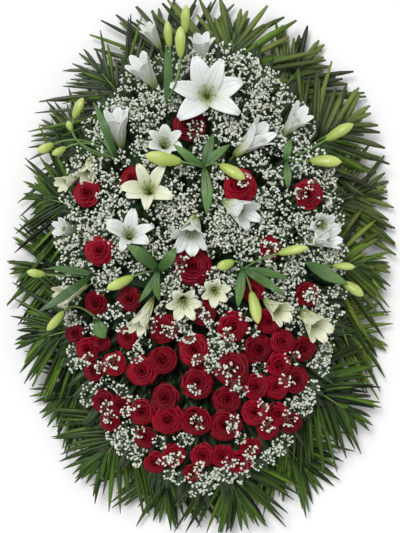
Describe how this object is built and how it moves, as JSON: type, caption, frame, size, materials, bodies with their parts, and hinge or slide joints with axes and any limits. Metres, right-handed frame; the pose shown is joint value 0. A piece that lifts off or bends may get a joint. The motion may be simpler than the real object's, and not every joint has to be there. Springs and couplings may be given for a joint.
{
  "type": "funeral wreath",
  "caption": "Tall oval funeral wreath of palm fronds, white lilies, dark red roses and baby's breath, lying on its wooden backing.",
  "frame": {"origin": "under the middle of the wreath's box, on the surface that it lies on", "axes": "+Y towards the wreath's top, +X towards its right as seen from the flower side, +Z out of the flower side"},
  "size_m": [0.8152, 1.1306, 0.2585],
  "materials": {
    "wood": "matte",
    "foam": "matte",
    "frond": "satin",
    "rose": "matte",
    "lily": "satin",
    "bud": "satin",
    "breath": "matte"
  },
  "bodies": {
    "root": {"babys_breath_left": "breath", "babys_breath_low_left": "breath", "babys_breath_low_right": "breath", "babys_breath_middle": "breath", "babys_breath_right_upper": "breath", "babys_breath_top": "breath", "buds_far_left": "bud", "buds_far_right": "bud", "buds_left_middle": "bud", "buds_left_upper": "bud", "buds_low_left": "bud", "buds_right_middle": "bud", "buds_right_upper": "bud", "buds_top": "bud", "buds_upper_middle": "bud", "foam_bed": "foam", "frond_01": "frond", "frond_02": "frond", "frond_03": "frond", "frond_04": "frond", "frond_05": "frond", "frond_06": "frond", "frond_07": "frond", "frond_08": "frond", "frond_09": "frond", "frond_10": "frond", "frond_11": "frond", "frond_12": "frond", "frond_13": "frond", "frond_14": "frond", "frond_15": "frond", "frond_16": "frond", "frond_17": "frond", "frond_18": "frond", "lilies_centre": "lily", "lilies_far_left": "lily", "lilies_far_right": "lily", "lilies_left_middle": "lily", "lilies_left_upper": "lily", "lilies_middle": "lily", "lilies_right_middle": "lily", "lilies_right_upper": "lily", "lilies_top_left": "lily", "lily_left_low": "lily", "lily_left_star": "lily", "lily_top": "lily", "rail_left": "wood", "rail_right": "wood", "rose_left_inner": "rose", "rose_top": "rose", "roses_bank_left": "rose", "roses_bank_middle": "rose", "roses_bank_right": "rose", "roses_left_middle": "rose", "roses_left_upper": "rose", "roses_middle": "rose", "roses_right_middle": "rose", "roses_right_upper": "rose", "slat_bottom": "wood", "slat_top": "wood"}
  },
  "joints": []
}
